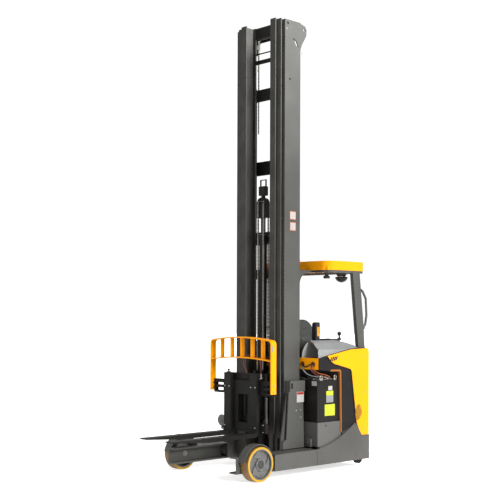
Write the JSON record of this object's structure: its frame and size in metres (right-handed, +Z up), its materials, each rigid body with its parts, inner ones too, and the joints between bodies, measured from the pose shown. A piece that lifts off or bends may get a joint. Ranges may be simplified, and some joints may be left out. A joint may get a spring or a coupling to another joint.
{
  "type": "reach truck",
  "caption": "Battery reach truck with a three-stage mast, raised tapered forks, bowed load backrest, standing operator's bay and overhead guard.",
  "frame": {"origin": "middle of the overall box's footprint, on the floor", "axes": "+X towards the fork tips, +Y to the truck's left, +Z up"},
  "size_m": [2.4856, 1.265, 4.688],
  "materials": {
    "yellow_paint": "semi-gloss powder coat",
    "charcoal_paint": "satin paint",
    "black_paint": "satin paint",
    "battery_case": "coated steel case",
    "pale_grey_paint": "satin paint",
    "chromed_rod": "hard chrome, ground",
    "bare_steel": "turned",
    "hub_iron": "cast and painted grey",
    "polyurethane": "cast polyurethane, scuffed",
    "grey_moulding": "textured moulding",
    "dark_moulding": "textured moulding",
    "floor_mat": "ribbed mat on a steel deck",
    "pad_vinyl": "stitched vinyl over foam"
  },
  "bodies": {
    "chassis": {"leg_left": "charcoal_paint", "leg_right": "charcoal_paint", "wheel_arches": "charcoal_paint", "load_axles": "bare_steel", "main_frame": "charcoal_paint", "side_skirts": "charcoal_paint", "battery": "battery_case", "battery_tray": "pale_grey_paint", "front_header": "yellow_paint", "dark_panels": "charcoal_paint", "side_panels": "yellow_paint", "front_cowl": "dark_moulding", "console": "grey_moulding", "bay_floor": "floor_mat", "power_housing": "charcoal_paint", "back_pad": "pad_vinyl", "controls": "dark_moulding", "guard_roof": "yellow_paint", "guard_pillars": "charcoal_paint", "grab_handle": "black_paint", "roof_fittings": "dark_moulding", "stabiliser_feet": "black_paint"},
    "reach_carriage": {"reach_frame": "charcoal_paint", "outer_rails": "charcoal_paint", "outer_crossbars": "charcoal_paint", "lift_barrels": "black_paint"},
    "middle_stage": {"middle_rails": "black_paint", "middle_crossbars": "black_paint", "lift_rods": "chromed_rod"},
    "inner_stage": {"inner_rails": "black_paint", "inner_crossbars": "black_paint", "free_lift_barrel": "black_paint"},
    "free_lift_crosshead": {"free_lift_head": "black_paint"},
    "lift_carriage": {"lift_frame": "black_paint"},
    "tilt_carrier": {"tilt_frame": "black_paint"},
    "tilt_ram": {"tilt_rod": "chromed_rod"},
    "fork_carriage": {"fork_bars": "black_paint", "fork_left": "black_paint", "fork_right": "black_paint", "backrest": "yellow_paint"},
    "load_wheel_left": {"load_tyre_left": "polyurethane", "load_hub_left": "hub_iron"},
    "load_wheel_right": {"load_tyre_right": "polyurethane", "load_hub_right": "hub_iron"},
    "drive_steer": {"drive_unit": "black_paint"},
    "drive_wheel": {"drive_tyre": "polyurethane", "drive_hub": "hub_iron"}
  },
  "joints": [
    {"name": "reach", "type": "slide", "parent": "chassis", "child": "reach_carriage", "axis": [1, 0, 0], "range_m": [0, 0.56]},
    {"name": "main_lift", "type": "slide", "parent": "reach_carriage", "child": "middle_stage", "axis": [0, 0, 1], "range_m": [0, 3.7]},
    {"name": "upper_lift", "type": "slide", "parent": "middle_stage", "child": "inner_stage", "axis": [0, 0, 1], "range_m": [0, 3.7]},
    {"name": "carriage_lift", "type": "slide", "parent": "inner_stage", "child": "lift_carriage", "axis": [0, 0, 1], "range_m": [-0.335, 2.85]},
    {"name": "free_lift", "type": "slide", "parent": "inner_stage", "child": "free_lift_crosshead", "axis": [0, 0, 1], "range_m": [-0.1675, 1.425]},
    {"name": "tilt", "type": "hinge", "parent": "lift_carriage", "child": "tilt_carrier", "pos_m": [-0.0233, 0, 0.445], "axis": [0, -1, 0], "range_deg": [-2, 4]},
    {"name": "tilt_stroke", "type": "slide", "parent": "lift_carriage", "child": "tilt_ram", "axis": [-1, 0, 0], "range_m": [-0.018, 0.036]},
    {"name": "side_shift", "type": "slide", "parent": "tilt_carrier", "child": "fork_carriage", "axis": [0, 1, 0], "range_m": [-0.075, 0.075]},
    {"name": "load_wheel_left_spin", "type": "hinge", "parent": "chassis", "child": "load_wheel_left", "pos_m": [0.454, 0.5765, 0.1715], "axis": [0, 1, 0], "continuous": true},
    {"name": "load_wheel_right_spin", "type": "hinge", "parent": "chassis", "child": "load_wheel_right", "pos_m": [0.454, -0.5765, 0.1715], "axis": [0, 1, 0], "continuous": true},
    {"name": "steering", "type": "hinge", "parent": "chassis", "child": "drive_steer", "pos_m": [-0.946, -0.33, 0.1715], "axis": [0, 0, 1], "range_deg": [-90, 90]},
    {"name": "drive_spin", "type": "hinge", "parent": "drive_steer", "child": "drive_wheel", "pos_m": [-0.946, -0.33, 0.1715], "axis": [0, 1, 0], "continuous": true}
  ],
  "couplings": [
    {"joint": "upper_lift", "follows": "main_lift", "ratio": 1},
    {"joint": "free_lift", "follows": "carriage_lift", "ratio": 0.5},
    {"joint": "tilt_stroke", "follows": "tilt", "m_per_rad": 0.505}
  ]
}
